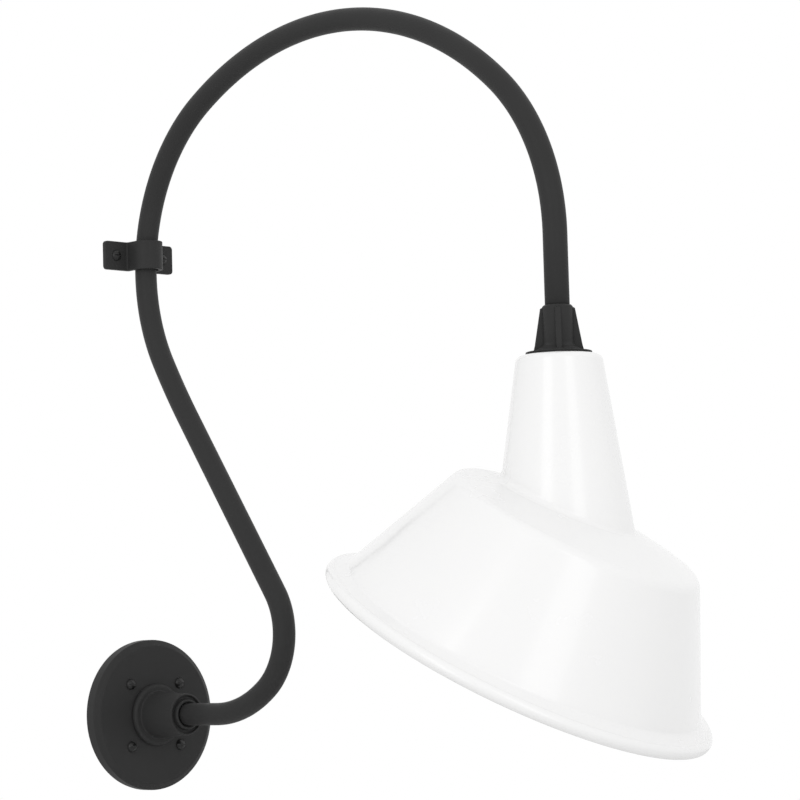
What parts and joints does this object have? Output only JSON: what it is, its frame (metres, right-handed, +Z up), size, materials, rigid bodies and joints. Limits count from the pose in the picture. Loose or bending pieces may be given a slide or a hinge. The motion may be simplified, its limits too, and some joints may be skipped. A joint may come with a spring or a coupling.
{
  "type": "gooseneck wall sconce",
  "caption": "Gooseneck wall sconce: a bent tube arm from a round wall plate, held by a strap, carrying a tilted enamelled bowl shade over a screw-in bulb.",
  "frame": {"origin": "centre of the round wall plate's gasket, on the wall plane", "axes": "+Z up, +Y into the wall, -Y out of the wall along the arm's reach, +X to the right when facing the wall"},
  "size_m": [0.3703, 0.7308, 0.7526],
  "materials": {
    "black_coat": "satin black powder coat",
    "black_cast": "satin black powder coat on cast aluminium",
    "black_screw": "painted black with the fitting",
    "white_enamel": "glossy white porcelain enamel on steel",
    "gasket_rubber": "soft black sponge rubber",
    "zinc_steel": "zinc plated steel",
    "porcelain": "white glazed porcelain",
    "brass": "plain sheet brass",
    "green_screw": "green grounding screw",
    "wire_black": "black wire insulation",
    "wire_white": "white wire insulation",
    "bushing_plastic": "black nylon",
    "lamp_body": "white moulded lamp body",
    "frosted_dome": "frosted white diffuser",
    "lamp_tip": "tinned contact on a dark insulator",
    "board_aluminium": "white coated aluminium board"
  },
  "bodies": {
    "wall_bracket": {"wall_plate": "black_coat", "plate_gasket": "gasket_rubber", "plate_screws": "black_screw", "ground_screw": "green_screw", "plate_hub": "black_cast", "hub_set_screw": "zinc_steel", "hub_locknut": "zinc_steel", "hub_collar": "black_cast", "gooseneck_arm": "black_coat", "line_wire": "wire_black", "neutral_wire": "wire_white", "arm_bushings": "bushing_plastic", "wall_strap": "black_cast", "strap_screws": "black_screw"},
    "shade_head": {"socket_cap": "black_cast", "cap_set_screw": "zinc_steel", "cap_gasket": "gasket_rubber", "shade": "white_enamel", "shade_locknut": "zinc_steel", "socket_body": "porcelain", "socket_screws": "zinc_steel", "terminal_screws": "brass", "socket_shell": "brass", "socket_contact": "brass", "line_lead": "wire_black", "neutral_lead": "wire_white"},
    "bulb_thrust": {"bulb_contact": "lamp_tip"},
    "bulb": {"bulb_cap": "brass", "bulb_housing": "lamp_body", "bulb_globe": "frosted_dome", "led_board": "board_aluminium"}
  },
  "joints": [
    {"name": "shade_turn", "type": "hinge", "parent": "wall_bracket", "child": "shade_head", "pos_m": [0, -0.59868, 0.33027], "axis": [0, 0, 1], "range_deg": [-170, 170]},
    {"name": "bulb_drop", "type": "slide", "parent": "shade_head", "child": "bulb_thrust", "axis": [0, 0, 1], "range_m": [-0.01452, 0]},
    {"name": "bulb_turn", "type": "hinge", "parent": "bulb_thrust", "child": "bulb", "pos_m": [0, -0.59868, 0.25], "axis": [0, 0, 1], "range_deg": [-1440, 0]}
  ],
  "couplings": [
    {"joint": "bulb_drop", "follows": "bulb_turn", "m_per_rad": 0.00057757}
  ]
}
